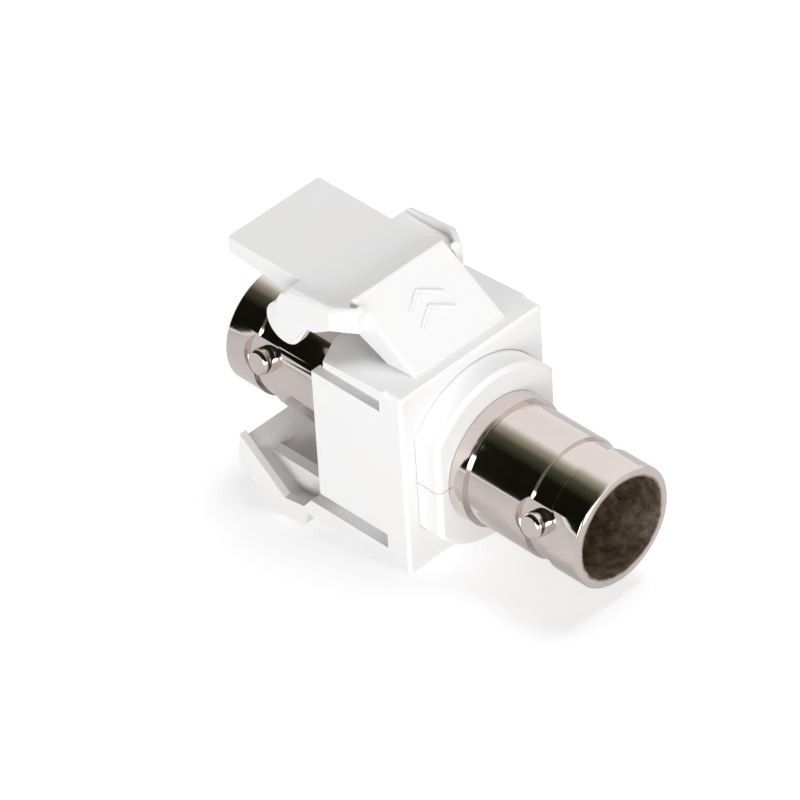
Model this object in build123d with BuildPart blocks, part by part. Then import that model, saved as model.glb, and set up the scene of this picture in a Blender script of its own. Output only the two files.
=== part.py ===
"""Feedthrough connector with two bayonet jacks, in a white snap-in housing for a wall plate or panel.

The origin is on the barrel's axis, in the front face of the housing's flange. +Y runs back through the
panel, +X is to the right for someone who looks at the front, and +Z is up. All sizes are in millimetres.
"""
import os
from math import cos, hypot, radians, sin, tan

from build123d import *

os.makedirs("parts", exist_ok=True)

# Housing: the flange that covers the panel's edge, and the box behind it
flange_width = 14.46
flange_height = 16.26
flange_thickness = 1.74
flange_edge = 0.22
flange_corner = 0.35
body_length = 8.96
side_wall = 0.9
slot_end_web = 0.42
upper_slot_height = 0.95
lower_slot_height = 1.27
top_plate_rear = 0.52
top_plate_drop = 0.5
top_corner_length = 1.28
top_corner_width = 2.43
arm_thickness = 1.52

# Snap beads on the side tongues, which sit in grooves of the insert
bead_radius = 0.28
bead_setback = 1.5
bead_length = 7.6

# Latch: a sprung arm with a ramp in front and a finger tab behind
latch_width = 9.2
ramp_setback = 1.06
ramp_lip = 0.17
ramp_length = 6.24
ramp_angle = 32.7
ramp_edge = 0.3
ramp_step = 1.2
arm_root = 2.87
arm_root_depth = 0.56
arm_bend = 6.54
arm_bend_thickness = 1.9
tab_end = 19.7
tab_root_thickness = 1.8
tab_tip_thickness = 1.28
tab_taper_start = 14.1
tab_corner = 0.7

# Wings at both sides of the latch, each with an upright lip and a stop leg
wing_reach = 1.85
wing_front = 5.8
wing_front_reach = 0.7
wing_sweep = 1.8
wing_rear = 11.85
wing_bulge = 1.25
wing_drop_front = 1.05
wing_drop_rear = 2.1
wing_drop_start = 9.26
lip_thickness = 0.5
lip_front_height = 0.9
lip_rear_height = 0.35
leg_radius = 1.17
leg_setback = 0.3
leg_thickness = 1.05
leg_centre = 12.55
leg_drop = 3.45
leg_root_front = 10.1
leg_root_rear = 13.1

# Fixed catch below: an open tray that slopes up to its tip
catch_step_start = 10.0
catch_step = 0.8
catch_step_depth = 1.0
catch_front_drop = 0.25
catch_dip = 0.33
catch_apex = 13.14
catch_apex_depth = 1.65
catch_land = 0.6
catch_tip = 17.5
catch_tip_bottom = 7.15
catch_tip_top = 4.34
catch_floor = 1.0
catch_wall = 0.62
catch_lip = 0.95
catch_lip_relief = 0.45
catch_lip_slope = 0.55
catch_rib = 0.92
catch_rib_offset = 4.65
catch_rib_top = 6.5

# Insert: two moulded halves that close round the barrel
insert_length = 10.96
insert_side_gap = 0.08
boss_width = 12.0
boss_radius = 7.2
boss_projection = 2.2
boss_edge = 0.32
insert_edge = 0.3
parting_gap = 0.06
moulded_clearance = 0.06
peg_width = 0.7
peg_length = 1.0
peg_clearance = 0.05
peg_setback = 0.85

# Barrel: turned brass, with a bayonet jack at each end
barrel_length = 35.0
barrel_diameter = 9.6
jack_bore = 8.1
jack_depth = 8.4
mouth_chamfer = 0.16
groove_width = 2.0
groove_depth = 0.22
stud_setback = 3.9
collar_diameter = 10.2
collar_length = 1.3
flats_across = 8.9
flats_length = 5.2
barrel_clearance = 0.05

# Bayonet studs, pressed into flat seats
stud_diameter = 2.0
stud_span = 11.0
stud_edge = 0.22
stud_seat_diameter = 3.9
stud_seat_span = 8.84
stud_angle = 14.0

# Inside the barrel: two insulators, the centre contact and the bush that holds them
line_bore = 6.6
line_lip_bore = 6.0
line_lip = 0.5
insulator_length = 3.0
insulator_clearance = 0.03
bush_length = 1.2
bush_step = 0.25
bush_wall = 0.55
contact_diameter = 2.1
contact_waist = 1.9
contact_shoulder_diameter = 2.9
contact_shoulder = 0.6
contact_reach = 5.0
contact_bore = 1.36
contact_bore_depth = 4.6
contact_slot = 0.26
contact_slot_depth = 3.6

# Places that follow from the sizes above
half_width = flange_width / 2
half_height = flange_height / 2
inner_half_width = half_width - side_wall
insert_width = 2 * (inner_half_width - insert_side_gap)
insert_front = -boss_projection
insert_rear = insert_front + insert_length
barrel_middle = (insert_front + insert_rear) / 2
barrel_front = barrel_middle - barrel_length / 2
barrel_rear = barrel_middle + barrel_length / 2
plate_bottom = half_height - top_plate_rear - top_plate_drop
plate_rear_top = plate_bottom + top_plate_rear
arm_top = -(half_height - arm_thickness)
slot_front = flange_thickness + slot_end_web
latch_half_width = latch_width / 2
ramp_bottom = half_height + ramp_lip
ramp_end = ramp_setback + ramp_length
ramp_top = ramp_bottom + ramp_length * tan(radians(ramp_angle))
tab_top = ramp_top - ramp_step
catch_front_bottom = -half_height - catch_step_depth - catch_front_drop
catch_front_top = arm_top - catch_step_depth
catch_apex_bottom = -half_height - catch_apex_depth
land_drop = catch_land / 2 * catch_apex_depth / (catch_apex - flange_edge)
front_stud = barrel_front + stud_setback
rear_stud = barrel_rear - stud_setback
bush_seat_diameter = line_bore + 2 * bush_step
bush_bore = bush_seat_diameter - 2 * bush_wall


def at_depth(depth):
    """Gives the plane that faces the front at this depth behind the flange's front face."""
    return Plane.XZ.offset(-depth)


def boss_outline(clearance):
    """Draws the boss: a circle with a flat on each side, grown by the clearance."""
    Circle(boss_radius + clearance)
    Rectangle(boss_width + 2 * clearance, 2 * flange_height, mode=Mode.INTERSECT)


# Housing, one white moulding: flange, side tongues, top plate, latch and the catch below
with BuildPart() as housing:
    with BuildSketch(Plane.XZ):
        RectangleRounded(flange_width, flange_height, flange_corner)
    extrude(amount=-flange_thickness)
    chamfer(housing.faces().sort_by(Axis.Y)[0].edges(), flange_edge)

    # Side walls, open behind: a slot above and one below make each of them a tongue
    with BuildSketch(Plane.YZ.offset(-half_width)):
        with Locations(((flange_thickness + body_length) / 2, (plate_bottom + arm_top) / 2)):
            Rectangle(body_length - flange_thickness, plate_bottom - arm_top)
        slot_length = body_length - slot_front
        with Locations((slot_front + slot_length / 2, plate_bottom - upper_slot_height / 2)):
            Rectangle(slot_length, upper_slot_height, mode=Mode.SUBTRACT)
        with Locations((slot_front + slot_length / 2, arm_top + lower_slot_height / 2)):
            Rectangle(slot_length, lower_slot_height, mode=Mode.SUBTRACT)
    extrude(amount=side_wall)
    with BuildSketch(Plane.XY.offset(-bead_length / 2)):
        with Locations((-inner_half_width, body_length - bead_setback)):
            Circle(bead_radius)
        with Locations((-half_width, body_length - bead_setback)):
            Rectangle(2 * side_wall, 2 * side_wall, mode=Mode.SUBTRACT)
    extrude(amount=bead_length)
    mirror(about=Plane.YZ)

    # Top plate: it thins towards the rear, and its rear corners are cut off
    with BuildSketch(Plane.YZ):
        with BuildLine():
            Polyline(
                (flange_thickness, plate_bottom),
                (flange_thickness, half_height),
                (body_length, plate_rear_top),
                (body_length, plate_bottom),
                close=True,
            )
        make_face()
    extrude(amount=half_width, both=True)
    with BuildSketch(Plane.XY.offset(plate_bottom)):
        for side in (-1, 1):
            with BuildLine():
                Polyline(
                    (side * half_width, body_length - top_corner_length),
                    (side * half_width, body_length),
                    (side * (half_width - top_corner_width), body_length),
                    close=True,
                )
            make_face()
    extrude(amount=top_plate_rear + top_plate_drop, mode=Mode.SUBTRACT)

    # Lower arm and catch, in side view. The catch's lowest edge is a narrow land in the plane of rest
    with BuildSketch(Plane.YZ):
        with BuildLine():
            Polyline(
                (flange_thickness, arm_top),
                (catch_step_start, arm_top),
                (catch_step_start + catch_step, catch_front_top),
                (catch_apex - catch_dip, catch_front_top - catch_dip),
                (catch_tip - catch_dip, -catch_tip_top),
                (catch_tip, -catch_tip_bottom),
                (catch_apex + catch_land / 2, catch_apex_bottom - land_drop),
                (catch_apex - catch_land / 2, catch_apex_bottom + land_drop),
                (catch_step_start + catch_step, catch_front_bottom),
                (catch_step_start + catch_step / 2, -half_height),
                (flange_thickness, -half_height),
                close=True,
            )
        make_face()
    extrude(amount=half_width, both=True)

    # The catch is a tray, open on top: three pockets between its walls and two ribs
    tray_front = catch_step_start + catch_step
    tray_slope = (-catch_tip_bottom - catch_apex_bottom) / (catch_tip - catch_apex)
    tray_rear = catch_tip - catch_dip - catch_lip
    tray_rear_floor = catch_apex_bottom + catch_floor + (tray_rear - catch_apex) * tray_slope
    rib_inner = catch_rib_offset - catch_rib / 2
    rib_outer = catch_rib_offset + catch_rib / 2
    tray_half_width = half_width - catch_wall
    pocket_spans = [(-tray_half_width, -rib_outer), (-rib_inner, rib_inner), (rib_outer, tray_half_width)]
    for start, end in pocket_spans:
        with BuildSketch(Plane.YZ.offset(start)):
            with BuildLine():
                Polyline(
                    (tray_front, catch_front_bottom + catch_floor),
                    (catch_apex, catch_apex_bottom + catch_floor),
                    (tray_rear, tray_rear_floor),
                    (tray_rear, -catch_tip_top),
                    (tray_front, -catch_tip_top),
                    close=True,
                )
            make_face()
        extrude(amount=end - start, mode=Mode.SUBTRACT)

    # Between the side walls the tray's rear lip is lower, and its top slopes down to the front
    with BuildSketch(Plane.YZ.offset(-tray_half_width)):
        with BuildLine():
            Polyline(
                (tray_rear, -catch_tip_top - catch_lip_relief - catch_lip_slope),
                (catch_tip, -catch_tip_top - catch_lip_relief),
                (catch_tip, -catch_tip_top),
                (tray_rear, -catch_tip_top),
                close=True,
            )
        make_face()
    extrude(amount=2 * tray_half_width, mode=Mode.SUBTRACT)

    # The ribs have level tops, in line with the top of the arm
    for side in (-1, 1):
        with BuildSketch(Plane.YZ.offset(side * catch_rib_offset)):
            with BuildLine():
                Polyline(
                    (catch_step_start, -catch_rib_top),
                    (tray_rear + catch_lip / 2, -catch_rib_top),
                    (tray_rear + catch_lip / 2, tray_rear_floor),
                    (catch_apex, catch_apex_bottom + catch_floor / 2),
                    (catch_step_start, catch_front_top),
                    close=True,
                )
            make_face()
        extrude(amount=catch_rib / 2, both=True)

    # Latch in side view: the ramp rises from the flange, and the finger tab lies a step lower
    with BuildSketch(Plane.YZ):
        with BuildLine():
            Polyline(
                (ramp_setback, half_height - arm_root_depth),
                (ramp_setback, ramp_bottom),
                (ramp_end, ramp_top),
                (ramp_end, tab_top),
                (tab_end, tab_top),
                (tab_end, tab_top - tab_tip_thickness),
                (tab_taper_start, tab_top - tab_root_thickness),
                (arm_bend, tab_top - arm_bend_thickness),
                (arm_root, half_height - arm_root_depth),
                close=True,
            )
        make_face()
    extrude(amount=latch_half_width, both=True)
    ramp_normal = Vector(0, -sin(radians(ramp_angle)), cos(radians(ramp_angle)))
    ramp_face = housing.faces().filter_by(lambda face: (face.normal_at() - ramp_normal).length < 0.01)[0]
    ramp_front = ramp_face.edges().sort_by(Axis.Y)[0]
    ramp_rims = [edge for edge in ramp_face.edges() if edge != ramp_front]
    fillet(ramp_rims, ramp_edge)
    tab_tip = housing.faces().sort_by(Axis.Y)[-1].edges().filter_by(Axis.Z)
    fillet(tab_tip, tab_corner)

    # Wings: swept back in plan, with a bulging rear end and an upright lip along the outer edge
    wing_half_width = latch_half_width + wing_reach
    for side in (-1, 1):
        with BuildPart(mode=Mode.PRIVATE) as wing:
            with BuildSketch(Plane.YZ):
                with BuildLine():
                    Polyline(
                        (wing_rear, tab_top + lip_rear_height),
                        (wing_front, tab_top + lip_front_height),
                        (wing_front, tab_top - wing_drop_front),
                        (wing_front + wing_sweep, tab_top - wing_drop_front),
                        (wing_drop_start, tab_top - wing_drop_rear),
                        (wing_rear + wing_bulge, tab_top - wing_drop_rear),
                    )
                    TangentArc(
                        (wing_rear + wing_bulge, tab_top - wing_drop_rear),
                        (wing_rear, tab_top + lip_rear_height),
                        tangent=(0, 1),
                    )
                make_face()
            extrude(amount=wing_half_width, both=True)
            with BuildSketch(Plane.XY.offset(tab_top - wing_drop_rear)):
                with BuildLine():
                    Polyline(
                        (side * latch_half_width, wing_front),
                        (side * (latch_half_width + wing_front_reach), wing_front),
                        (side * wing_half_width, wing_front + wing_sweep),
                        (side * wing_half_width, wing_rear + wing_bulge),
                        (side * latch_half_width, wing_rear + wing_bulge),
                        close=True,
                    )
                make_face()
            extrude(amount=wing_drop_rear + lip_front_height, mode=Mode.INTERSECT)
            with BuildSketch(Plane.XY.offset(tab_top)):
                with BuildLine():
                    lip_front = wing_front + lip_thickness
                    lip_corner = latch_half_width + wing_front_reach - lip_thickness / 2
                    lip_inside = wing_half_width - lip_thickness
                    Polyline(
                        (0, lip_front),
                        (side * lip_corner, lip_front),
                        (side * lip_inside, lip_front + wing_sweep - lip_thickness / 2),
                        (side * lip_inside, wing_rear + wing_bulge),
                        (0, wing_rear + wing_bulge),
                        close=True,
                    )
                make_face()
            extrude(amount=lip_front_height, mode=Mode.SUBTRACT)
        add(wing.part)

    # Stop legs under the wings
    leg_middle = wing_half_width - leg_setback - leg_thickness / 2
    for side in (-1, 1):
        with BuildSketch(Plane.YZ.offset(side * leg_middle)):
            with Locations((leg_centre, tab_top - leg_drop)):
                Circle(leg_radius)
            root_middle = (leg_root_front + leg_root_rear) / 2
            with Locations((root_middle, tab_top - wing_drop_rear + lip_thickness / 2)):
                Rectangle(leg_root_rear - leg_root_front, lip_thickness)
            make_hull()
        extrude(amount=leg_thickness / 2, both=True)

    # The insert's boss stands through a port in the flange
    with BuildSketch(Plane.XZ):
        boss_outline(moulded_clearance)
    extrude(amount=-flange_thickness, mode=Mode.SUBTRACT)
housing.part.label = "housing"
export_step(housing.part, "parts/housing.step")


# Insert: both halves start as one block that fills the housing behind the flange
def insert_half(side):
    """Makes the half above (1) or below (-1) the parting plane, with square pegs above and holes below."""
    block_bottom = arm_top + moulded_clearance
    block_top = plate_bottom - moulded_clearance
    with BuildPart() as half:
        with BuildSketch(at_depth(flange_thickness)):
            with Locations((0, (block_top + block_bottom) / 2)):
                Rectangle(insert_width, block_top - block_bottom)
        extrude(amount=-(insert_rear - flange_thickness))
        chamfer(half.faces().sort_by(Axis.Y)[-1].edges(), insert_edge)
        with BuildSketch(at_depth(insert_front)):
            boss_outline(0)
        extrude(amount=-(flange_thickness + boss_projection))
        chamfer(half.faces().sort_by(Axis.Y)[0].edges(), boss_edge)
        bead_places = [(x, body_length - bead_setback) for x in (-inner_half_width, inner_half_width)]
        with BuildSketch(Plane.XY.offset(-bead_length / 2 - moulded_clearance)):
            with Locations(*bead_places):
                Circle(bead_radius + moulded_clearance)
        extrude(amount=bead_length + 2 * moulded_clearance, mode=Mode.SUBTRACT)

        # Bore round the barrel, with a flat seat above and below for the barrel's flats
        with BuildSketch(at_depth(insert_front)):
            Circle(barrel_diameter / 2 + barrel_clearance)
        extrude(amount=-insert_length, mode=Mode.SUBTRACT)
        with BuildSketch(at_depth(barrel_middle)):
            Circle(barrel_diameter / 2 + barrel_clearance)
            Rectangle(insert_width, flats_across + 2 * barrel_clearance, mode=Mode.SUBTRACT)
        extrude(amount=flats_length / 2 - barrel_clearance, both=True)

        # Keep one half, then give it the locating pegs or their holes
        keep = Keep.TOP if side > 0 else Keep.BOTTOM
        split(bisect_by=Plane.XY.offset(side * parting_gap / 2), keep=keep)
        peg_offset = (barrel_diameter / 2 + barrel_clearance + insert_width / 2) / 2
        peg_places = [(x, insert_rear - peg_setback) for x in (-peg_offset, peg_offset)]
        with BuildSketch(Plane.XY.offset(parting_gap / 2 if side > 0 else -parting_gap / 2)):
            with Locations(*peg_places):
                hole_clearance = 0 if side > 0 else 2 * peg_clearance
                Rectangle(peg_width + hole_clearance, peg_width + hole_clearance)
        if side > 0:
            extrude(amount=-peg_length)
        else:
            extrude(amount=-peg_length, mode=Mode.SUBTRACT)
    return half.part


insert_upper = insert_half(1)
insert_upper.label = "insert_upper"
export_step(insert_upper, "parts/insert_upper.step")
insert_lower = insert_half(-1)
insert_lower.label = "insert_lower"
export_step(insert_lower, "parts/insert_lower.step")


# Barrel, turned from brass bar and plated: a jack at each end of a smaller line bore
with BuildPart() as barrel:
    outer = barrel_diameter / 2
    mouth = jack_bore / 2
    groove = outer - groove_depth
    collar = collar_diameter / 2
    front_ring = insert_front - barrel_clearance
    rear_ring = insert_rear + barrel_clearance
    front_floor = barrel_front + jack_depth
    rear_floor = barrel_rear - jack_depth
    with BuildSketch(Plane.XY):
        with BuildLine():
            Polyline(
                (mouth, barrel_front),
                (outer - mouth_chamfer, barrel_front),
                (outer, barrel_front + mouth_chamfer),
                (outer, front_stud - groove_width / 2),
                (groove, front_stud - groove_width / 2),
                (groove, front_stud + groove_width / 2),
                (outer, front_stud + groove_width / 2),
                (outer, front_ring - collar_length),
                (collar, front_ring - collar_length),
                (collar, front_ring),
                (outer, front_ring),
                (outer, rear_ring),
                (collar, rear_ring),
                (collar, rear_ring + collar_length),
                (outer, rear_ring + collar_length),
                (outer, rear_stud - groove_width / 2),
                (groove, rear_stud - groove_width / 2),
                (groove, rear_stud + groove_width / 2),
                (outer, rear_stud + groove_width / 2),
                (outer, barrel_rear - mouth_chamfer),
                (outer - mouth_chamfer, barrel_rear),
                (mouth, barrel_rear),
                (mouth, rear_floor),
                (bush_seat_diameter / 2, rear_floor),
                (bush_seat_diameter / 2, rear_floor - bush_length),
                (line_bore / 2, rear_floor - bush_length),
                (line_bore / 2, front_floor + line_lip),
                (line_lip_bore / 2, front_floor + line_lip),
                (line_lip_bore / 2, front_floor),
                (mouth, front_floor),
                close=True,
            )
        make_face()
    revolve(axis=Axis.Y)

    # Flats above and below, which keep the barrel from turning in the insert
    with BuildSketch(at_depth(barrel_middle)):
        Circle(collar_diameter / 2)
        Rectangle(collar_diameter, flats_across, mode=Mode.SUBTRACT)
    extrude(amount=flats_length / 2, both=True, mode=Mode.SUBTRACT)

    # Flat round seats and press holes for the studs
    for depth in (front_stud, rear_stud):
        for side in (-1, 1):
            seat_plane = Plane(
                origin=(0, depth, 0),
                x_dir=(0, 1, 0),
                z_dir=Vector(side, 0, 0).rotate(Axis.Y, stud_angle),
            )
            with BuildSketch(seat_plane.offset(stud_seat_span / 2)):
                Circle(stud_seat_diameter / 2)
            extrude(amount=outer, mode=Mode.SUBTRACT)
            with BuildSketch(seat_plane):
                Circle(stud_diameter / 2)
            extrude(amount=collar_diameter, mode=Mode.SUBTRACT)
barrel.part.label = "barrel"
export_step(barrel.part, "parts/barrel.step")


# Four bayonet studs: plain pins, each with a chamfered end
stud_places = {
    "front_left_stud": (front_stud, -1),
    "front_right_stud": (front_stud, 1),
    "rear_left_stud": (rear_stud, -1),
    "rear_right_stud": (rear_stud, 1),
}
stud_foot = hypot(jack_bore / 2, stud_diameter / 2)
for stud_name, (depth, side) in stud_places.items():
    stud_plane = Plane(
        origin=(0, depth, 0),
        x_dir=(0, 1, 0),
        z_dir=Vector(side, 0, 0).rotate(Axis.Y, stud_angle),
    )
    with BuildPart() as stud:
        with BuildSketch(stud_plane.offset(stud_foot)):
            Circle(stud_diameter / 2)
        extrude(amount=stud_span / 2 - stud_foot)
        rims = stud.edges().filter_by(GeomType.CIRCLE).sort_by(Axis((0, depth, 0), stud_plane.z_dir))
        chamfer(rims[-1], stud_edge)
    stud.part.label = stud_name
    export_step(stud.part, f"parts/{stud_name}.step")


# Insulators: turned discs that carry the centre contact in the line bore
insulator_starts = {
    "front_insulator": front_floor + line_lip,
    "rear_insulator": rear_floor - bush_length - insulator_length,
}
for insulator_name, start in insulator_starts.items():
    with BuildPart() as insulator:
        with BuildSketch(at_depth(start)):
            Circle(line_bore / 2 - insulator_clearance)
            Circle(contact_diameter / 2 + insulator_clearance, mode=Mode.SUBTRACT)
        extrude(amount=-insulator_length)
    insulator.part.label = insulator_name
    export_step(insulator.part, f"parts/{insulator_name}.step")


# Retaining bush, pressed in behind the rear insulator
with BuildPart() as retaining_bush:
    with BuildSketch(at_depth(rear_floor - bush_length)):
        Circle(bush_seat_diameter / 2)
        Circle(bush_bore / 2, mode=Mode.SUBTRACT)
    extrude(amount=-bush_length)
retaining_bush.part.label = "retaining_bush"
export_step(retaining_bush.part, "parts/retaining_bush.step")


# Centre contact, one turned pin with a slotted socket at each end
with BuildPart() as centre_contact:
    stem = contact_diameter / 2
    waist = contact_waist / 2
    shoulder = contact_shoulder_diameter / 2
    front_tip = front_floor - contact_reach
    rear_tip = rear_floor + contact_reach
    front_shoulder = front_floor + line_lip + insulator_length + insulator_clearance
    rear_shoulder = rear_floor - bush_length - insulator_length - insulator_clearance
    with BuildSketch(Plane.XY):
        with BuildLine():
            Polyline(
                (0, front_tip),
                (stem, front_tip),
                (stem, front_shoulder),
                (shoulder, front_shoulder),
                (shoulder, front_shoulder + contact_shoulder),
                (waist, front_shoulder + contact_shoulder),
                (waist, rear_shoulder - contact_shoulder),
                (shoulder, rear_shoulder - contact_shoulder),
                (shoulder, rear_shoulder),
                (stem, rear_shoulder),
                (stem, rear_tip),
                (0, rear_tip),
                close=True,
            )
        make_face()
    revolve(axis=Axis.Y)
    for tip, inward in ((front_tip, 1), (rear_tip, -1)):
        with BuildSketch(at_depth(tip)):
            Circle(contact_bore / 2)
        extrude(amount=-inward * contact_bore_depth, mode=Mode.SUBTRACT)
        with BuildSketch(at_depth(tip)):
            Rectangle(contact_diameter, contact_slot)
        extrude(amount=-inward * contact_slot_depth, mode=Mode.SUBTRACT)
centre_contact.part.label = "centre_contact"
export_step(centre_contact.part, "parts/centre_contact.step")
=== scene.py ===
"""A panel feedthrough with two bayonet jacks, dressed as new: white mouldings round nickel-plated brass."""
import math

import bmesh
import bpy
from mathutils import Matrix, Vector
from mathutils.geometry import convex_hull_2d


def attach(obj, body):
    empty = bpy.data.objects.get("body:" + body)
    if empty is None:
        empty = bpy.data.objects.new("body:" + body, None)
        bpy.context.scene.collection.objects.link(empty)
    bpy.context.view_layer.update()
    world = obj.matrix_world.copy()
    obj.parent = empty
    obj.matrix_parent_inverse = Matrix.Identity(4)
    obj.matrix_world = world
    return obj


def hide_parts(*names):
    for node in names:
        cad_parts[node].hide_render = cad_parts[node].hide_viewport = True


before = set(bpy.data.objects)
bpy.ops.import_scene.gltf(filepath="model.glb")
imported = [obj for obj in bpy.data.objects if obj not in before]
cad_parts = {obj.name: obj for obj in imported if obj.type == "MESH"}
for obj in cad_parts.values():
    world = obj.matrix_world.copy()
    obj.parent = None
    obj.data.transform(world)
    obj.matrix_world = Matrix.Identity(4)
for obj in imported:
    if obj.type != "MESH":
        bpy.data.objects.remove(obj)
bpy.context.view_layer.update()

# View
# The connector lies on a white table, seen from its front left and from above through a long lens.
# The camera looks past the middle of the front flange, and two offsets centre the whole part.
view_bearing = math.radians(-43.199)
view_height = math.radians(39.966)
view_roll = math.radians(-3.582)
view_distance = 0.476476
view_right = -0.00544
view_up = 0.002945
lens_mm = 300.64
sensor_mm = 36.0
nearest_seen = 0.01

toward_camera = Vector((
    math.sin(view_bearing) * math.cos(view_height),
    -math.cos(view_bearing) * math.cos(view_height),
    math.sin(view_height),
))
level_right = Vector((math.cos(view_bearing), math.sin(view_bearing), 0))
level_up = toward_camera.cross(level_right)
camera_right = math.cos(view_roll) * level_right + math.sin(view_roll) * level_up
camera_up = math.cos(view_roll) * level_up - math.sin(view_roll) * level_right
camera_data = bpy.data.cameras.new("camera")
camera_data.sensor_width = sensor_mm
camera_data.lens = lens_mm
camera_data.clip_start = nearest_seen
camera = bpy.data.objects.new("camera", camera_data)
bpy.context.scene.collection.objects.link(camera)
camera_place = camera_right * view_right + camera_up * view_up + toward_camera * view_distance
camera.matrix_world = Matrix((
    (camera_right.x, camera_up.x, toward_camera.x, camera_place.x),
    (camera_right.y, camera_up.y, toward_camera.y, camera_place.y),
    (camera_right.z, camera_up.z, toward_camera.z, camera_place.z),
    (0, 0, 0, 1),
))
bpy.context.scene.camera = camera

# Housing
# One injection moulding in white ABS: flange, side tongues, top plate, sprung latch and lower catch.
# Its outer faces are lightly textured by the tool, and every edge has the small radius that a mould leaves.
MM = 0.001
white_colour = (0.80, 0.80, 0.805, 1)
white_warm = (0.81, 0.797, 0.782, 1)
white_roughness = 0.42
white_ior = 1.5
flow_cloud_scale = 160.0
flow_cloud_limits = (0.35, 0.75)
flow_gloss_change = 0.14
tool_grain_scale = 5200.0
tool_grain_strength = 0.25
grain_height = 0.01 * MM


def feed(tree, target, sockets):
    """Sets or links the sockets of a node that stands in a tree."""
    for name, value in sockets.items():
        if isinstance(value, bpy.types.NodeSocket):
            tree.links.new(value, target.inputs[name])
        else:
            target.inputs[name].default_value = value


def node(tree, kind, sockets=None, **settings):
    """Adds a node to a tree, sets its properties, and sets or links its sockets."""
    made = tree.nodes.new(kind)
    for name, value in settings.items():
        setattr(made, name, value)
    feed(tree, made, sockets or {})
    return made


def worked_out(tree, operation, *values):
    """Adds a Math node over numbers or sockets and gives its result."""
    return node(tree, "ShaderNodeMath", dict(enumerate(values)), operation=operation).outputs[0]


def mixed(tree, share, first, second):
    """Mixes two colours, each given as a value or a socket, by a share from 0 to 1."""
    return node(tree, "ShaderNodeMix", {0: share, 6: first, 7: second}, data_type="RGBA").outputs[2]


def share_between(tree, value, low, high):
    """Turns a value between two limits into a share from 0 to 1."""
    return node(tree, "ShaderNodeMapRange", {"Value": value, "From Min": low, "From Max": high}).outputs[0]


def effect_group(name, inputs, outputs):
    """Starts a shader node group with a place and named values going in, and named sockets coming out."""
    group = bpy.data.node_groups.new(name, "ShaderNodeTree")
    group.interface.new_socket("Vector", in_out="INPUT", socket_type="NodeSocketVector")
    for socket, default in inputs.items():
        kind = "NodeSocketColor" if isinstance(default, tuple) else "NodeSocketFloat"
        group.interface.new_socket(socket, in_out="INPUT", socket_type=kind).default_value = default
    for socket, kind in outputs.items():
        group.interface.new_socket(socket, in_out="OUTPUT", socket_type=kind)
    return group, node(group, "NodeGroupInput").outputs, node(group, "NodeGroupOutput")


def new_material(name):
    """Makes a material with a Principled shader and Object coordinates to build on."""
    made = bpy.data.materials.new(name)
    made.use_nodes = True
    tree = made.node_tree
    return made, tree, tree.nodes["Principled BSDF"], node(tree, "ShaderNodeTexCoord").outputs["Object"]


# Moulded skin: faint flow clouds in the colour and gloss, and the fine grain of the tool's surface
skin, skin_in, skin_end = effect_group(
    "moulded_skin",
    {"Colour": white_colour, "Cloud colour": white_warm, "Roughness": white_roughness,
     "Grain scale": tool_grain_scale},
    {"Colour": "NodeSocketColor", "Roughness": "NodeSocketFloat", "Height": "NodeSocketFloat"},
)
cloud = node(skin, "ShaderNodeTexNoise", {
    "Vector": skin_in["Vector"], "Scale": flow_cloud_scale, "Detail": 3.0}).outputs["Fac"]
grain = node(skin, "ShaderNodeTexNoise", {
    "Vector": skin_in["Vector"], "Scale": skin_in["Grain scale"], "Detail": 2.0}).outputs["Fac"]
cloud_share = share_between(skin, cloud, *flow_cloud_limits)
gloss_shift = worked_out(skin, "MULTIPLY", cloud, flow_gloss_change)
feed(skin, skin_end, {
    "Colour": mixed(skin, cloud_share, skin_in["Colour"], skin_in["Cloud colour"]),
    "Roughness": worked_out(skin, "ADD", skin_in["Roughness"], gloss_shift),
    "Height": grain,
})

white_plastic, tree, shader, place = new_material("white_moulded_plastic")
finish = node(tree, "ShaderNodeGroup", {
    "Vector": place, "Colour": white_colour, "Cloud colour": white_warm,
    "Roughness": white_roughness, "Grain scale": tool_grain_scale}, node_tree=skin).outputs
relief = node(tree, "ShaderNodeBump", {
    "Height": finish["Height"], "Strength": tool_grain_strength, "Distance": grain_height})
feed(tree, shader, {
    "Base Color": finish["Colour"], "Roughness": finish["Roughness"],
    "Normal": relief.outputs["Normal"], "IOR": white_ior})

# How a CAD piece is copied: its points are merged, its flats made one face each, and its edges rounded
merge_distance = 0.002 * MM
flat_angle = math.radians(0.4)
corner_angle = math.radians(32)
corner_steps = 2
flat_weight = 100


def soft_copy(cad_name, name, radius, material, shape=None):
    """Copies a CAD piece as a closed mesh, reshapes it, rounds its sharp edges and lets it stand in."""
    form = bmesh.new()
    form.from_mesh(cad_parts[cad_name].data)
    bmesh.ops.remove_doubles(form, verts=form.verts, dist=merge_distance)
    bmesh.ops.dissolve_limit(form, angle_limit=flat_angle, verts=form.verts, edges=form.edges)
    if shape:
        shape(form)
    for face in form.faces:
        face.smooth = True
    mesh = bpy.data.meshes.new(name)
    form.to_mesh(mesh)
    form.free()
    rough = bpy.data.objects.new(name + "_rough", mesh)
    bpy.context.scene.collection.objects.link(rough)
    rounding = rough.modifiers.new("Rounded edges", "BEVEL")
    rounding.width = radius
    rounding.segments = corner_steps
    rounding.limit_method = "ANGLE"
    rounding.angle_limit = corner_angle
    shading = rough.modifiers.new("Even flats", "WEIGHTED_NORMAL")
    shading.mode = "FACE_AREA"
    shading.weight = flat_weight
    made = bpy.data.meshes.new_from_object(rough.evaluated_get(bpy.context.evaluated_depsgraph_get()))
    bpy.data.objects.remove(rough)
    made.materials.clear()
    made.materials.append(material)
    piece = bpy.data.objects.new(name, made)
    bpy.context.scene.collection.objects.link(piece)
    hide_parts(cad_name)
    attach(piece, "root")
    return piece


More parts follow.
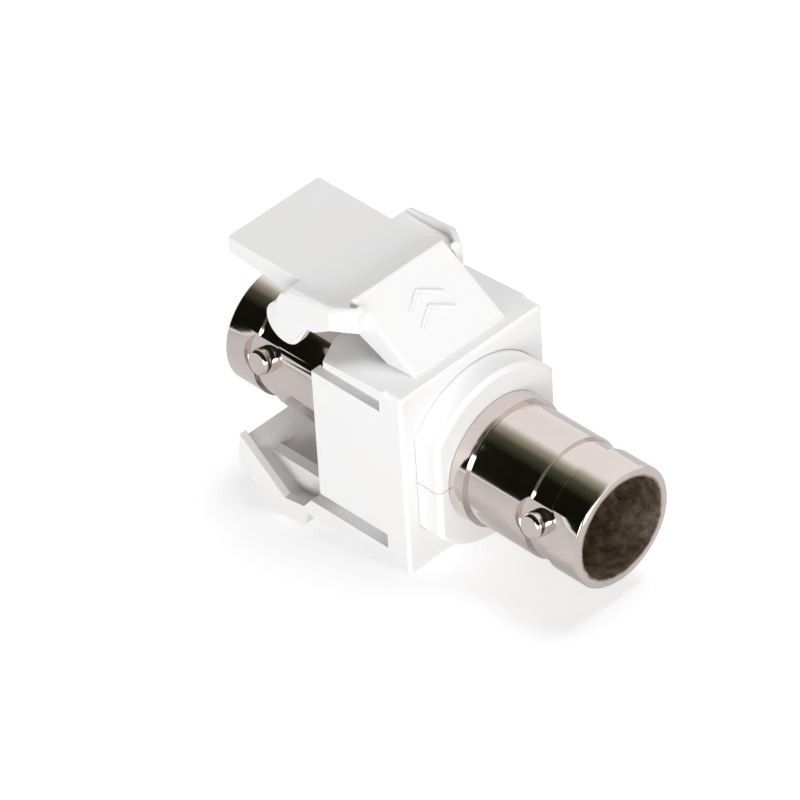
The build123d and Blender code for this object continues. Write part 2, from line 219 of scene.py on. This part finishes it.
# The finger tab's two rear corners are tighter than the solid's
tab_half_width = 4.6 * MM
tab_rear = 19.7 * MM
tab_radius = 0.7 * MM
tab_new_radius = 0.3 * MM


def tighten_tab(form):
    """Draws the tab's rear corners out to their smaller radius."""
    for vert in form.verts:
        side = math.copysign(1, vert.co.x)
        centre = Vector((side * (tab_half_width - tab_radius), tab_rear - tab_radius))
        away = Vector((vert.co.x, vert.co.y)) - centre
        if away.x * side > -merge_distance and away.y > -merge_distance:
            centre = Vector((side * (tab_half_width - tab_new_radius), tab_rear - tab_new_radius))
            vert.co.x, vert.co.y = centre + away * (tab_new_radius / tab_radius)


# The wings hang a little lower behind, and the rims of their tops are well rounded
wing_bottom = 9.0 * MM
wing_bottom_band = 0.01 * MM
wing_rear_start = 11.0 * MM
wing_hang = 0.5 * MM
wing_inside = 4.7 * MM
wing_front = 5.8 * MM
wing_top_start = 11.0 * MM
wing_rounding = 0.45 * MM
wing_rounding_steps = 4

# A rim to round lies between an upright wall that looks outwards or forwards and a top that looks up
wall_rise = 0.1
wall_outwards = 0.2
wall_forwards = 0.9
top_rise = 0.3


def lower_wings(form):
    """Lowers the bottom edge of the wings behind the legs."""
    for vert in form.verts:
        if abs(vert.co.z - wing_bottom) < wing_bottom_band and vert.co.y > wing_rear_start:
            vert.co.z -= wing_hang


def round_wings(form):
    """Rounds the rims where the wings' outer walls meet their tops."""
    form.normal_update()
    rims = []
    for edge in form.edges:
        middle = (edge.verts[0].co + edge.verts[1].co) / 2
        on_wing = abs(middle.x) >= wing_inside and middle.y >= wing_front - merge_distance
        if not on_wing or middle.z <= wing_top_start or len(edge.link_faces) != 2 or not edge.is_convex:
            continue
        wall, top = sorted(edge.link_faces, key=lambda face: abs(face.normal.z))
        outwards = wall.normal.x * math.copysign(1, middle.x) > wall_outwards
        forwards = wall.normal.y < -wall_forwards
        if (outwards or forwards) and abs(wall.normal.z) < wall_rise and top.normal.z > top_rise:
            rims.append(edge)
    bmesh.ops.bevel(form, geom=rims, offset=wing_rounding, offset_type="OFFSET", affect="EDGES",
                    segments=wing_rounding_steps, profile=0.5, clamp_overlap=False)


# The two ribs of the catch's tray are cut level up to its rear lip
rib_inside = 4.0 * MM
rib_outside = 5.3 * MM
rib_front = 9.9 * MM
rib_rear = 16.22 * MM
rib_top = -6.55 * MM
above_ribs = -4.9 * MM


def add_blocks(form, inside, outside, rim):
    """Adds a closed block on each side of the part, drawn straight across from a rim of y and z."""
    for side in (-1, 1):
        inner, outer = ([form.verts.new((side * reach, y, z)) for y, z in rim] for reach in (inside, outside))
        faces = [form.faces.new(inner), form.faces.new(outer)]
        for step in range(len(rim)):
            faces.append(form.faces.new((inner[step - 1], inner[step], outer[step], outer[step - 1])))
        bmesh.ops.recalc_face_normals(form, faces=faces)


def level_ribs(form):
    """Cuts the ribs level. The form has to be one closed shell, so this comes before the legs are added."""
    wedges = bmesh.new()
    add_blocks(wedges, rib_inside, rib_outside, [
        (rib_front, rib_top), (rib_rear, rib_top), (rib_rear, above_ribs), (rib_front, above_ribs)])
    meshes = [bpy.data.meshes.new(name) for name in ("untrimmed", "rib_wedges")]
    form.to_mesh(meshes[0])
    wedges.to_mesh(meshes[1])
    wedges.free()
    rough, wedge = [bpy.data.objects.new(mesh.name, mesh) for mesh in meshes]
    bpy.context.scene.collection.objects.link(rough)
    bpy.context.scene.collection.objects.link(wedge)
    trimming = rough.modifiers.new("Trim", "BOOLEAN")
    trimming.operation = "DIFFERENCE"
    trimming.solver = "EXACT"
    trimming.object = wedge
    trimmed = bpy.data.meshes.new_from_object(rough.evaluated_get(bpy.context.evaluated_depsgraph_get()))
    bpy.data.objects.remove(rough)
    bpy.data.objects.remove(wedge)
    form.clear()
    form.from_mesh(trimmed)
    bpy.data.meshes.remove(trimmed)


# Each stop leg is a round knob below a wing, which runs up into the wing's wall
leg_middle = Vector((13.06, 7.42)) * MM
leg_radius = 1.72 * MM
leg_root = [(10.1 * MM, 9.1 * MM), (13.1 * MM, 9.1 * MM)]
leg_inside = 5.05 * MM
leg_outside = 5.8 * MM
leg_sides = 40


def add_legs(form):
    """Adds the two stop legs. Their rim goes round the knob and straight up to the root in the wing."""
    turns = [2 * math.pi * step / leg_sides for step in range(leg_sides)]
    points = leg_root + [
        (leg_middle.x + leg_radius * math.cos(turn), leg_middle.y + leg_radius * math.sin(turn))
        for turn in turns]
    add_blocks(form, leg_inside, leg_outside, [points[index] for index in convex_hull_2d(points)])


def shape_housing(form):
    """Gives the copied housing the forms that the solid only roughs out."""
    lower_wings(form)
    tighten_tab(form)
    round_wings(form)
    level_ribs(form)
    add_legs(form)


moulded_radius = 0.11 * MM
soft_copy("housing", "housing_moulding", moulded_radius, white_plastic, shape_housing)

# Ramp mark
# Two plain chevrons stand up from the ramp and point up it, to show which way the module goes in.
# They are part of the housing's moulding, and take the place of the word that the real ramp carries.
mark_count = 2
mark_sizes = {
    "Spacing": 1.4 * MM, "Half width": 1.65 * MM, "Rise": 1.1 * MM,
    "Line width": 0.36 * MM, "Line height": 0.26 * MM, "Rounding": 0.07 * MM,
}
ramp_middle = Vector((0, 4.1, 10.255)) * MM
ramp_slope = math.radians(32.7)

marks = bpy.data.node_groups.new("chevrons", "GeometryNodeTree")
marks.is_modifier = True
marks.interface.new_socket("Count", in_out="INPUT", socket_type="NodeSocketInt")
for size_name in mark_sizes:
    marks.interface.new_socket(size_name, in_out="INPUT", socket_type="NodeSocketFloat")
marks.interface.new_socket("Material", in_out="INPUT", socket_type="NodeSocketMaterial")
marks.interface.new_socket("Geometry", in_out="OUTPUT", socket_type="NodeSocketGeometry")
mark_in = node(marks, "NodeGroupInput").outputs

# One chevron is a line of three points, the outer two drawn back by the rise
arm_step = node(marks, "ShaderNodeCombineXYZ", {"X": mark_in["Half width"]}).outputs[0]
arm_line = node(marks, "GeometryNodeMeshLine", {"Count": 3, "Offset": arm_step}).outputs[0]
arm_point = node(marks, "GeometryNodeInputPosition").outputs[0]
arm_across = node(marks, "ShaderNodeSeparateXYZ", {"Vector": arm_point}).outputs["X"]
arm_share = worked_out(marks, "DIVIDE", arm_across, mark_in["Half width"])
arm_from_tip = worked_out(marks, "ABSOLUTE", worked_out(marks, "SUBTRACT", arm_share, 1.0))
arm_drop = worked_out(marks, "MULTIPLY", arm_from_tip, mark_in["Rise"])
arm_offset = node(marks, "ShaderNodeCombineXYZ", {
    "X": worked_out(marks, "MULTIPLY", mark_in["Half width"], -1.0),
    "Y": worked_out(marks, "MULTIPLY", arm_drop, -1.0)}).outputs[0]
arm_bent = node(marks, "GeometryNodeSetPosition", {"Geometry": arm_line, "Offset": arm_offset}).outputs[0]

# A bar with rounded edges runs along the line, and the chevron is repeated up the ramp
arm_curve = node(marks, "GeometryNodeMeshToCurve", {"Mesh": arm_bent}).outputs[0]
bar = node(marks, "GeometryNodeCurvePrimitiveQuadrilateral", {
    "Width": mark_in["Line width"], "Height": mark_in["Line height"]}).outputs[0]
bar_round = node(marks, "GeometryNodeFilletCurve", {"Curve": bar, "Radius": mark_in["Rounding"]}).outputs[0]
chevron = node(marks, "GeometryNodeCurveToMesh", {
    "Curve": arm_curve, "Profile Curve": bar_round, "Fill Caps": True}).outputs[0]
row_step = node(marks, "ShaderNodeCombineXYZ", {"Y": mark_in["Spacing"]}).outputs[0]
row = node(marks, "GeometryNodeMeshLine", {"Count": mark_in["Count"], "Offset": row_step}).outputs[0]
repeated = node(marks, "GeometryNodeInstanceOnPoints", {"Points": row, "Instance": chevron}).outputs[0]
real_marks = node(marks, "GeometryNodeRealizeInstances", {"Geometry": repeated}).outputs[0]
coloured = node(marks, "GeometryNodeSetMaterial", {
    "Geometry": real_marks, "Material": mark_in["Material"]}).outputs[0]
node(marks, "NodeGroupOutput", {"Geometry": coloured})


def grown(name, tree, values, place):
    """Runs a Geometry Nodes tree once, keeps its result as a plain mesh and moves the mesh to its place."""
    seed = bpy.data.objects.new(name + "_seed", bpy.data.meshes.new(name + "_seed"))
    bpy.context.scene.collection.objects.link(seed)
    maker = seed.modifiers.new("Maker", "NODES")
    maker.node_group = tree
    for socket in tree.interface.items_tree:
        if socket.in_out == "INPUT":
            maker[socket.identifier] = values[socket.name]
    mesh = bpy.data.meshes.new_from_object(seed.evaluated_get(bpy.context.evaluated_depsgraph_get()))
    bpy.data.objects.remove(seed)
    mesh.transform(place)
    piece = bpy.data.objects.new(name, mesh)
    bpy.context.scene.collection.objects.link(piece)
    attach(piece, "root")
    return piece


mark_values = {"Count": mark_count, "Material": white_plastic, **mark_sizes}
mark_place = Matrix.Translation(ramp_middle) @ Matrix.Rotation(ramp_slope, 4, "X")
grown("ramp_chevrons", marks, mark_values, mark_place)

# Insert
# Two white mouldings that close round the barrel, seen as the round boss in front with its parting line.
# They are the same plastic as the housing, and snap into it on a bead along each side tongue.
boss_inside = 5.9 * MM
boss_rear = 1.7 * MM
boss_swell = 0.045 * MM


def fill_port(form):
    """Grows the boss a little, so that the fit in the flange's port shows no open slit."""
    for vert in form.verts:
        out = Vector((vert.co.x, vert.co.z))
        if vert.co.y < boss_rear and out.length > boss_inside:
            vert.co.x += out.normalized().x * boss_swell
            vert.co.z += out.normalized().y * boss_swell


for half in ("insert_upper", "insert_lower"):
    soft_copy(half, half + "_moulding", moulded_radius, white_plastic, fill_port)

# Barrel, studs and bush
# Turned brass with bright nickel over it, a stud pressed into each side of either mouth and a bush inside.
# Inside the two jacks the plating is duller and painted a dark, mottled brown as painted shade of the deep
# bores, and fine turning lines run round every surface.
barrel_radius = 0.10 * MM
small_radius = 0.05 * MM
nickel_colour = (0.765, 0.69, 0.66, 1)
nickel_tint = (0.725, 0.645, 0.612, 1)
nickel_roughness = 0.09
turning_scale = 9000.0
turning_strength = 0.05
turning_height = 0.01 * MM
plating_patch_scale = 300.0
plating_patch_limits = (0.35, 0.7)
plating_gloss_change = (-0.03, 0.05)
jack_wall = 4.2 * MM
bore_shade_colour = (0.245, 0.19, 0.14, 1)
bore_shade_flecks = (0.82, 0.69, 0.56, 1)
bore_shade_scale = 1300.0
bore_shade_limits = (0.38, 0.80)
bore_dullness = 0.42

# Turned finish: lines round the axis, patches of tint and gloss, and how far out from the axis a point lies
turned, turned_in, turned_end = effect_group(
    "turned_finish",
    {"Colour": nickel_colour, "Tint": nickel_tint, "Roughness": nickel_roughness,
     "Line scale": turning_scale},
    {"Colour": "NodeSocketColor", "Roughness": "NodeSocketFloat", "Height": "NodeSocketFloat",
     "Distance": "NodeSocketFloat"},
)
turned_at = node(turned, "ShaderNodeSeparateXYZ", {"Vector": turned_in["Vector"]}).outputs
axis_distance = worked_out(turned, "SQRT", worked_out(
    turned, "ADD", worked_out(turned, "POWER", turned_at["X"], 2.0),
    worked_out(turned, "POWER", turned_at["Z"], 2.0)))
turned_place = node(turned, "ShaderNodeCombineXYZ", {"X": axis_distance, "Y": turned_at["Y"]}).outputs[0]
lines = node(turned, "ShaderNodeTexNoise", {
    "Vector": turned_place, "Scale": turned_in["Line scale"], "Detail": 2.0}).outputs["Fac"]
patches = node(turned, "ShaderNodeTexNoise", {
    "Vector": turned_in["Vector"], "Scale": plating_patch_scale, "Detail": 3.0}).outputs["Fac"]
patch_share = share_between(turned, patches, *plating_patch_limits)
gloss_shift = node(turned, "ShaderNodeMapRange", {
    "Value": patches, "To Min": plating_gloss_change[0], "To Max": plating_gloss_change[1]}).outputs[0]
feed(turned, turned_end, {
    "Colour": mixed(turned, patch_share, turned_in["Colour"], turned_in["Tint"]),
    "Roughness": worked_out(turned, "ADD", turned_in["Roughness"], gloss_shift),
    "Height": lines,
    "Distance": axis_distance,
})

nickel, tree, shader, place = new_material("nickel_plated_brass")
finish = node(tree, "ShaderNodeGroup", {
    "Vector": place, "Colour": nickel_colour, "Tint": nickel_tint,
    "Roughness": nickel_roughness, "Line scale": turning_scale}, node_tree=turned).outputs
relief = node(tree, "ShaderNodeBump", {
    "Height": finish["Height"], "Strength": turning_strength, "Distance": turning_height})
# Painted shade: inside the jacks' bores the plating is coloured a dark, mottled brown for the shade that
# fills them, and it is made duller
inside = worked_out(tree, "LESS_THAN", finish["Distance"], jack_wall)
bore_shade_patch = node(tree, "ShaderNodeTexNoise", {
    "Vector": place, "Scale": bore_shade_scale, "Detail": 4.0, "Roughness": 0.6}).outputs["Fac"]
bore_shade = mixed(tree, share_between(tree, bore_shade_patch, *bore_shade_limits), bore_shade_colour, bore_shade_flecks)
feed(tree, shader, {
    "Base Color": mixed(tree, inside, finish["Colour"], bore_shade),
    "Roughness": worked_out(tree, "MULTIPLY_ADD", inside, bore_dullness, finish["Roughness"]),
    "Normal": relief.outputs["Normal"], "Metallic": 1.0})

soft_copy("barrel", "barrel_plated", barrel_radius, nickel)
for small_piece in ("front_left_stud", "front_right_stud", "rear_left_stud", "rear_right_stud",
                    "retaining_bush"):
    soft_copy(small_piece, small_piece + "_plated", small_radius, nickel)

# Insulators and contact
# Two turned plastic discs carry the gold-plated centre contact, a pin with a slotted socket at each end.
# They lie deep in the jacks, and the front disc rests on a lip while the bush holds the rear one.
insulator_colour = (0.30, 0.26, 0.22, 1)
insulator_cloud = (0.24, 0.20, 0.17, 1)
insulator_roughness = 0.5
insulator_grain_scale = 9000.0
contact_radius = 0.02 * MM
# Painted shade: the contact's gold is darkened to a dull brown because it lies in shadow deep in the jacks
shaded_gold_colour = (0.43, 0.315, 0.18, 1)
shaded_gold_tint = (0.38, 0.27, 0.15, 1)
gold_roughness = 0.35
gold_turning_scale = 7000.0

insulator_plastic, tree, shader, place = new_material("insulator_plastic")
finish = node(tree, "ShaderNodeGroup", {
    "Vector": place, "Colour": insulator_colour, "Cloud colour": insulator_cloud,
    "Roughness": insulator_roughness, "Grain scale": insulator_grain_scale}, node_tree=skin).outputs
feed(tree, shader, {"Base Color": finish["Colour"], "Roughness": finish["Roughness"]})
for disc in ("front_insulator", "rear_insulator"):
    soft_copy(disc, disc + "_disc", small_radius, insulator_plastic)

gold, tree, shader, place = new_material("gold_plated_contact")
finish = node(tree, "ShaderNodeGroup", {
    "Vector": place, "Colour": shaded_gold_colour, "Tint": shaded_gold_tint,
    "Roughness": gold_roughness, "Line scale": gold_turning_scale}, node_tree=turned).outputs
feed(tree, shader, {"Base Color": finish["Colour"], "Roughness": finish["Roughness"], "Metallic": 1.0})
soft_copy("centre_contact", "centre_contact_pin", contact_radius, gold)

# Table and light
# The part lies on white paper, tipped back on the flange's lower edge and the lowest edge of the catch.
# Soft light comes from the left, from the front and from above on the right. The paper and the room are
# white, and what shines also mirrors a dark side of the room, which lies on the left.
rest_front = Vector((0, 0, -8.13 * MM))
rest_rear = Vector((0, 13.14 * MM, -9.78 * MM))
table_reach = 3.0

# The paper glows faintly, less where it is mirrored and more where the camera sees it, so it is white there
paper_colour = (0.62, 0.62, 0.623, 1)
paper_glow = 0.28
paper_glow_mirrored = -0.10
paper_glow_seen = 0.26

table_along = (rest_rear - rest_front).normalized()
table_mesh = bpy.data.meshes.new("table")
table_corners = [rest_front + (Vector((x, 0, 0)) + table_along * y) * table_reach
                 for x, y in ((-1, -1), (1, -1), (1, 1), (-1, 1))]
table_mesh.from_pydata(table_corners, [], [(0, 1, 2, 3)])
table = bpy.data.objects.new("table", table_mesh)
bpy.context.scene.collection.objects.link(table)

paper, tree, shader, _ = new_material("white_paper")
tree.nodes.remove(shader)
ray = node(tree, "ShaderNodeLightPath").outputs
mirrored = worked_out(tree, "MAXIMUM", ray["Is Glossy Ray"], ray["Is Transmission Ray"])
glow = worked_out(tree, "MULTIPLY_ADD", mirrored, paper_glow_mirrored, paper_glow)
glow = worked_out(tree, "MULTIPLY_ADD", ray["Is Camera Ray"], paper_glow_seen, glow)
paper_surface = node(tree, "ShaderNodeBsdfDiffuse", {"Color": paper_colour}).outputs[0]
paper_emission = node(tree, "ShaderNodeEmission", {"Color": (1, 1, 1, 1), "Strength": glow}).outputs[0]
paper_sum = node(tree, "ShaderNodeAddShader", {0: paper_surface, 1: paper_emission}).outputs[0]
feed(tree, tree.nodes["Material Output"], {"Surface": paper_sum})
table_mesh.materials.append(paper)

# The mirrored room, from level on the right, over the top, to level on the left: white, olive, black
room_shades = (
    (0.40, (1, 1, 1, 1)),
    (0.47, (0.42, 0.42, 0.33, 1)),
    (0.56, (0.08, 0.08, 0.05, 1)),
    (0.68, (0.007, 0.008, 0.004, 1)),
    (1.00, (0.004, 0.004, 0.002, 1)),
)

# Where it is seen or mirrored the room has its full white, but it lights the part only by this share
room_light_level = 0.25

room = bpy.data.worlds.new("room")
bpy.context.scene.world = room
room.use_nodes = True
tree = room.node_tree
tree.nodes.clear()
ray = node(tree, "ShaderNodeLightPath").outputs
room_direction = node(tree, "ShaderNodeTexCoord").outputs["Generated"]
room_way = node(tree, "ShaderNodeSeparateXYZ", {"Vector": room_direction}).outputs
room_turn = share_between(tree, worked_out(tree, "ARCTAN2", room_way["Z"], room_way["X"]), 0.0, math.pi)
room_shade = node(tree, "ShaderNodeValToRGB", {"Fac": room_turn})
stops = room_shade.color_ramp.elements
stops[0].position, stops[0].color = room_shades[0]
stops[1].position, stops[1].color = room_shades[-1]
for share, shade in room_shades[1:-1]:
    stops.new(share).color = shade
room_colour = mixed(tree, ray["Is Glossy Ray"], (1, 1, 1, 1), room_shade.outputs["Color"])
seen = worked_out(tree, "MAXIMUM", ray["Is Camera Ray"], ray["Is Glossy Ray"])
seen = worked_out(tree, "MAXIMUM", seen, ray["Is Transmission Ray"])
room_level = node(tree, "ShaderNodeMapRange", {
    "Value": seen, "To Min": room_light_level, "To Max": 1.0}).outputs[0]
room_glow = node(tree, "ShaderNodeBackground", {"Color": room_colour, "Strength": room_level}).outputs[0]
node(tree, "ShaderNodeOutputWorld", {"Surface": room_glow})


def soft_light(name, place, width, height, power, mirrored=True):
    """Hangs a soft box that faces the part, and says whether the plating mirrors it."""
    data = bpy.data.lights.new(name, "AREA")
    data.shape = "RECTANGLE"
    data.size = width
    data.size_y = height
    data.energy = power
    lamp = bpy.data.objects.new(name, data)
    bpy.context.scene.collection.objects.link(lamp)
    lamp.visible_glossy = mirrored
    facing = Vector(place).to_track_quat("Z", "Y").to_matrix().to_4x4()
    lamp.matrix_world = Matrix.Translation(place) @ facing


soft_light("left_softbox", place=(-0.725, -0.28, 0.16), width=0.75, height=0.30, power=4.7)
soft_light("front_softbox", place=(-0.10, -0.73, 0.17), width=0.7, height=0.30, power=3.05)
soft_light("top_softbox", place=(0.26, 0.05, 0.75), width=0.42, height=0.42, power=3.45, mirrored=False)

bpy.context.scene.view_settings.view_transform = "Standard"
